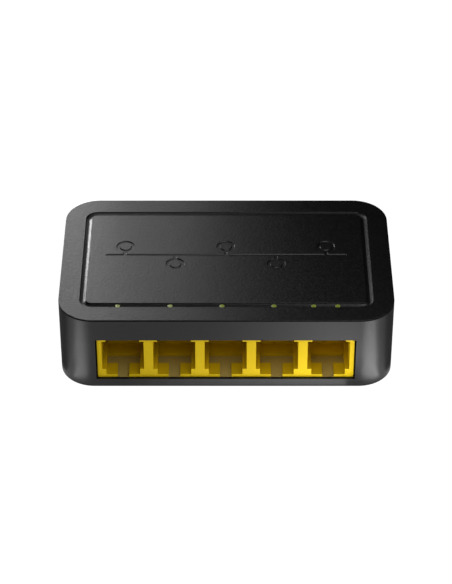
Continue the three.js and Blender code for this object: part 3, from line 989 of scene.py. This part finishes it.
def solder_joints():
    """Trimmed leads and solder cones under the board, two staggered rows for each port."""
    bm = bmesh.new()
    cone = [(0.62, 0.0), (0.6, 0.04), (0.42, 0.14), (0.27, 0.3), (0.2, 0.44), (0.0, 0.46)]
    under = [(radius, board_low.z - height) for radius, height in cone]
    pins = [(port, pin) for port in range(PORTS) for pin in range(PLACES)]
    places = [(contact_x(port, pin), PIN_ROW_Y + PIN_ROW_STEP * (pin % 2)) for port, pin in pins]
    places += [(INLET_X + x, y) for x, y in INLET_TERMINALS]
    for x, y in places:
        lathe(bm, under, (x, y, 0), steps=16)
    return dress(object_from(bm, "solder_joints"), [tin])


def lead_pair(bm, centre, half_reach, half_body, base, lift, width, turn):
    """Two gull-wing leads on opposite sides of a package, in YZ before a turn in degrees."""
    for side in (-1, 1):
        path = [
            (side * (half_body - 0.2), base + lift),
            (side * (half_body + 0.2), base + lift),
            (side * (half_body + 0.45), base + 0.12),
            (side * half_reach, base + 0.12),
        ]
        part = bmesh.new()
        strip(part, rounded_path(path, 0.15, 3), 0, width, LEAD_THICKNESS, slot=1)
        bmesh.ops.transform(part, matrix=Matrix.Rotation(math.radians(turn), 4, "Z"), verts=part.verts)
        bmesh.ops.translate(part, vec=Vector((centre[0], centre[1], 0)) * MM, verts=part.verts)
        merge(bm, part)


def package(node, leads, pitch, width, reach, both_ways=False, dimple=True):
    """A moulded chip package with gull-wing leads, sized from its CAD node."""
    low, high, centre, half = measure(node)
    body_y = half.y - reach
    body_x = half.x - reach if both_ways else half.x
    bm = bmesh.new()
    lower = Vector((centre.x - body_x, centre.y - body_y, low.z + 0.1))
    upper = Vector((centre.x + body_x, centre.y + body_y, high.z))
    block(bm, lower, upper, min(0.25, (upper.z - lower.z) / 5), 2)
    lift = min(0.9, (high.z - low.z) * 0.45)
    for i in range(leads):
        offset = (i - (leads - 1) / 2) * pitch
        lead_pair(bm, (centre.x + offset, centre.y), half.y, body_y, low.z, lift, width, 0)
        if both_ways:
            lead_pair(bm, (centre.x, centre.y + offset), half.x, body_x, low.z, lift, width, 90)
    piece = object_from(bm, node + "_package")
    if dimple:
        mark = bmesh.new()
        corner = (lower.x + 1.2, lower.y + 1.2, 0)
        lathe(mark, [(0.4, high.z - 0.08), (0.5, high.z + 0.2)], corner, steps=20)
        combine(piece, mark)
    return dress(piece, [epoxy, tin], replaced=[node])


def chip_parts():
    """Small resistors and capacitors scattered in rows on the free board."""
    rng = random.Random(SEED)
    bm = bmesh.new()
    low = board_high.z
    high = low + CHIP_HEIGHT
    for x, y in CHIP_ROWS:
        length = rng.choice(CHIP_LENGTHS)
        ends = (length / 2, length / 4)
        body = (ends[0] * 0.6, ends[1])
        if rng.random() < 0.3:
            ends, body = ends[::-1], body[::-1]
        block(bm, (x - ends[0], y - ends[1], low), (x + ends[0], y + ends[1], high), 0.05, 1, 1)
        block(bm, (x - body[0], y - body[1], low), (x + body[0], y + body[1], high + 0.05), 0.04, 1, 0)
    return dress(object_from(bm, "chip_parts"), [epoxy, tin])


def can_capacitor(node, name):
    """Aluminium can with a rolled bead and a scored vent."""
    low, high, centre, half = measure(node)
    radius = half.x
    height = high.z - low.z
    profile = [(0, 0), (radius - 0.12, 0), (radius, 0.12), (radius, 1.2)]
    profile += arc(radius, 1.5, 0.3, 270, 90, 6)
    profile += [(radius, 1.9)]
    profile += arc(radius - 0.35, height - 0.35, 0.35, 0, 90, 5)
    profile += [(radius - 0.7, height - 0.05), (0, height - 0.05)]
    can = object_from(lathe(bmesh.new(), profile, (centre.x, centre.y, low.z)), name)
    reach = radius * 0.55
    start = (centre.x - reach, centre.y - 0.08, high.z - 0.15)
    end = (centre.x + reach, centre.y + 0.08, high.z + PAST)
    combine(can, block(bmesh.new(), start, end))
    return dress(can, [can_metal], replaced=[node])


def crystal_can():
    """Drawn metal can of the crystal, on its rolled flange."""
    low, high, middle, half = measure("clock_crystal")
    steps = [(0, low.z), (0, low.z + 0.45), (0.3, low.z + 0.55), (0.3, high.z - 0.35)]
    steps += [(0.38, high.z - 0.12), (0.65, high.z)]
    loops = [rounded_loop(half.x - i, half.y - i, half.y - i - 0.02, z, 12, middle.xy) for i, z in steps]
    can = object_from(loft(bmesh.new(), loops), "crystal_can")
    return dress(can, [can_metal], replaced=["clock_crystal"])


def chip_led(index):
    """Chip LED under one branch of the light guide."""
    node = f"indicator_led_{index}"
    low, high = box_mm(node)
    bm = bmesh.new()
    block(bm, low, (high.x, high.y, low.z + 0.35), 0.04, 2, 1)
    lens_low = (low.x + 0.3, low.y + 0.02, low.z + 0.3)
    block(bm, lens_low, (high.x - 0.3, high.y - 0.02, high.z), 0.12, 3, 0)
    return dress(object_from(bm, f"chip_led_{index}"), [led_plastic, tin], replaced=[node])


# ---- power inlet


def inlet_socket():
    """Barrel socket: rounded body, funnelled bore and a slot for the leaf."""
    axis_z = BASE + INLET_HEIGHT
    face = inlet_high.y
    centre = (INLET_X, face, axis_z)
    bore = [(BORE_RADIUS, BORE_END - face), (BORE_RADIUS, -0.5), (BORE_MOUTH, 0.0), (BORE_MOUTH, PAST)]
    pin_hole = [(1.15, inlet_low.y - PAST - face), (1.15, BORE_END + PAST - face)]
    slot_low = (INLET_X - 1.5, BORE_END + APART, BASE + 4.4)
    slot_high = (INLET_X + 1.5, face - 0.8, axis_z - 1)
    socket = object_from(block(bmesh.new(), inlet_low, inlet_high), "inlet_socket")
    combine(socket, lathe(bmesh.new(), bore, centre, "Y", 64))
    combine(socket, block(bmesh.new(), slot_low, slot_high))
    combine(socket, lathe(bmesh.new(), pin_hole, centre, "Y", 32))
    soften(socket, 0.12)
    return dress(socket, [tray_plastic], replaced=["inlet_housing"])


def inlet_pin():
    """Centre pin with a rounded nose."""
    low, high, centre = measure("inlet_pin")[:3]
    nose = high.y - low.y - PIN_NOSE
    profile = [(0, 0), (PIN_RADIUS - 0.1, 0), (PIN_RADIUS, 0.1), (PIN_RADIUS, nose)]
    angles = (0.3, 0.6, 0.9, 1.2, 1.45)
    profile += [(PIN_RADIUS * math.cos(a), nose + PIN_NOSE * math.sin(a)) for a in angles]
    bm = lathe(bmesh.new(), profile, (centre.x, low.y, centre.z), "Y", 40)
    return dress(object_from(bm, "inlet_centre_pin"), [steel], replaced=["inlet_pin"])


def inlet_leaf():
    """Leaf spring that bears on the plug's barrel."""
    middle = measure("inlet_spring")[2]
    path = rounded_path([(y, BASE + z) for y, z in LEAF_PATH], LEAF_BEND, 6)
    bm = strip(bmesh.new(), path, middle.x, LEAF_WIDTH, LEAF_THICKNESS)
    leaf = object_from(bm, "inlet_leaf_blade")
    return dress(leaf, [steel], ["inlet_spring"], "inlet_leaf")


# ---- underside


def rubber_foot(index):
    """Self-adhesive rubber foot with a domed edge and a shallow dished face."""
    node = f"foot_{index}"
    high, centre, half = measure(node)[1:]
    radius = half.x
    profile = [(0, 0.06), (radius * 0.45, 0.05), (radius - 0.9, 0.0), (radius - 0.4, 0.0)]
    profile += arc(radius - 0.35, 0.35, 0.35, 280, 360, 5)
    profile += [(radius, high.z), (0, high.z)]
    bm = lathe(bmesh.new(), profile, (centre.x, centre.y, 0), steps=72)
    return dress(object_from(bm, f"rubber_foot_{index}"), [foot_finish], replaced=[node])


def machine_screw(index):
    """Pan head screw with a cross recess and a threaded shank."""
    node = f"case_screw_{index}"
    low, high, centre, half = measure(node)
    radius = half.x
    profile = [(0, 0)] + arc(radius - 0.5, 0.5, 0.5, 270, 360, 5)
    profile += [(radius, 1.35), (0.95, 1.4)]
    threads = 16
    pitch = (high.z - low.z - 2.2) / threads
    for turn in range(threads):
        base = 1.5 + turn * pitch
        profile += [(0.78, base), (1.0, base + pitch * 0.45), (0.78, base + pitch * 0.9)]
    profile += [(0.6, high.z - low.z), (0, high.z - low.z)]
    bm = lathe(bmesh.new(), profile, (centre.x, centre.y, low.z), steps=36)
    screw = object_from(bm, f"machine_screw_{index}")
    for across, along in ((1.1, 0.24), (0.24, 1.1)):
        loops = [
            [Vector((centre.x + sx * across * s, centre.y + sy * along * s, z)) for sx, sy in SQUARE]
            for z, s in ((low.z - 0.3, 1.0), (low.z + 0.8, 0.75))
        ]
        combine(screw, loft(bmesh.new(), loops))
    soften(screw, 0.04, 1)
    return dress(screw, [steel], replaced=[node])


def blank_label():
    """Blank rating label: silver film with a printed frame and no lettering."""
    low, high, middle, half = measure("rating_label")
    steps = [(0.3, high.z), (0.0, high.z), (0.0, low.z + 0.03), (0.03, low.z), (1.0, low.z), (1.3, low.z)]
    bands = [0, 0, 0, 0, 1]
    loops = [rounded_loop(half.x - i, half.y - i, max(1.5 - i, 0.4), z, 8, middle.xy) for i, z in steps]
    label = object_from(loft(bmesh.new(), loops, bands=bands), "blank_label")
    return dress(label, [label_silver, label_ink], replaced=["rating_label"])


# ---- stage


def stage_material(name, roughness, drift, dark, light, glow):
    """Matt material of the stage, drifting between two greys, with a glow of its own."""
    made = Shader(name, Roughness=roughness, Emission_Color=(1, 1, 1, 1), Emission_Strength=glow)
    made.colour(made.noise(drift, 2), (dark, dark, dark), (light, light, light))
    return made.material


def studio_floor():
    """The pale table."""
    bm = bmesh.new()
    bmesh.ops.create_grid(bm, x_segments=1, y_segments=1, size=FLOOR_REACH)
    floor = object_from(bm, "studio_floor")
    floor.data.materials.append(stage_material("studio_floor", 0.8, 3, 0.19, 0.21, FLOOR_GLOW))


def softbox(name, place, aim, size, radiance):
    """A rectangular soft light that the camera doesn't see, with lengths in millimetres."""
    light = bpy.data.lights.new(name, "AREA")
    light.shape = "RECTANGLE"
    light.size, light.size_y = size[0] * MM, size[1] * MM
    light.energy = radiance * math.pi * light.size * light.size_y
    lamp = bpy.data.objects.new(name, light)
    lamp.location = Vector(place) * MM
    towards = (Vector(aim) - Vector(place)).normalized()
    lamp.rotation_euler = towards.to_track_quat("-Z", "Y").to_euler()
    lamp.visible_camera = False
    bpy.context.scene.collection.objects.link(lamp)
    return lamp


def table_light(name, place, size, turn, radiance):
    """A soft light that lies on the table and faces up, turned by some degrees."""
    panel = softbox(name, (*place, TABLE_LEVEL), (*place, 100), size, radiance)
    panel.rotation_euler = (math.pi, 0, math.radians(turn))


def flag(name, low, high):
    """A grey card on the table beside the switch, out of the camera's sight, that dims the side walls."""
    bm = block(bmesh.new(), (*low, FLAG_LEVELS[0]), (*high, FLAG_LEVELS[1]))
    card = object_from(bm, name)
    card.data.materials.append(stage_material(name, 0.9, 8, 0.10, 0.14, FLAG_GLOW))
    card.visible_camera = False


def studio():
    """White surround for the camera, dim surround for the object, and its soft lights."""
    world = bpy.data.worlds.new("studio")
    bpy.context.scene.world = world
    world.use_nodes = True
    nodes, links = world.node_tree.nodes, world.node_tree.links
    path = nodes.new("ShaderNodeLightPath")
    tone = nodes.new("ShaderNodeMix")
    tone.data_type = "RGBA"
    tone.inputs[6].default_value = (SURROUND, SURROUND, SURROUND, 1)
    tone.inputs[7].default_value = (1, 1, 1, 1)
    links.new(path.outputs["Is Camera Ray"], tone.inputs["Factor"])
    links.new(tone.outputs[2], nodes["Background"].inputs["Color"])
    reach = KEY_DISTANCE * math.cos(math.radians(CAMERA_ELEVATION))
    rise = KEY_DISTANCE * math.sin(math.radians(CAMERA_ELEVATION))
    for x, width, radiance in KEY_STRIPS:
        place = (x, reach, TOP + rise)
        softbox(f"key_strip_{x}", place, (x, 0, TOP), (width, KEY_LENGTH), radiance)
    for light in TABLE_LIGHTS:
        table_light(*light)
    for near, far, start, scale, power, most in TABLE_ROWS:
        for step in range(int((TABLE_END - start) / TABLE_STEP)):
            x = start + (step + 0.5) * TABLE_STEP
            radiance = min(((x - start) / scale) ** power, most)
            table_light(f"table_{near}_{step}", (x, (near + far) / 2), (TABLE_STEP, near - far), 0, radiance)
    for light in SOFTBOXES:
        softbox(*light)
    for side in (-1, 1):
        inner, outer = sorted((side * FLAG_INNER, side * FLAG_OUTER))
        flag(f"flag_{side + 1}", (inner, FLAG_FRONT), (outer, FLAG_OUTER))


def camera():
    """The camera, aimed at the casing's middle from the front and above."""
    data = bpy.data.cameras.new("camera")
    made = bpy.data.objects.new("camera", data)
    bpy.context.scene.collection.objects.link(made)
    bpy.context.scene.camera = made
    data.lens = CAMERA_LENS
    data.shift_x, data.shift_y = CAMERA_SHIFT
    data.clip_start, data.clip_end = 0.01, 20
    tilt = math.radians(CAMERA_ELEVATION)
    target = Vector((0, 0, CAMERA_TARGET_Z))
    back = Vector((0, -math.cos(tilt), math.sin(tilt)))
    made.location = (target + back * CAMERA_DISTANCE) * MM
    made.rotation_euler = (-back).to_track_quat("-Z", "Y").to_euler()


camera()
studio_floor()
studio()
bpy.context.scene.view_settings.view_transform = "Standard"

case_tub()
case_cover()
jack_block()
fibre_sheet()
for port in range(PORTS):
    contact_carrier(port)
    for pin in WIRED_PLACES:
        contact_wire(port, pin)
    package(f"port_transformer_{port + 1}", 8, 1.27, 0.5, 0.8)
light_pipe()
board_panel()
solder_joints()
chip_parts()
package("switch_chip", 12, 1.0, 0.44, 1.0, both_ways=True)
package("power_inductor", 2, 3.0, 1.2, 0.3, dimple=False)
package("regulator", 3, 0.95, 0.4, 0.6)
can_capacitor("capacitor_input", "input_capacitor_can")
can_capacitor("capacitor_output", "output_capacitor_can")
crystal_can()
for led in range(1, 7):
    chip_led(led)
inlet_socket()
inlet_pin()
inlet_leaf()
for corner in range(1, 5):
    rubber_foot(corner)
for side in (1, 2):
    machine_screw(side)
blank_label()
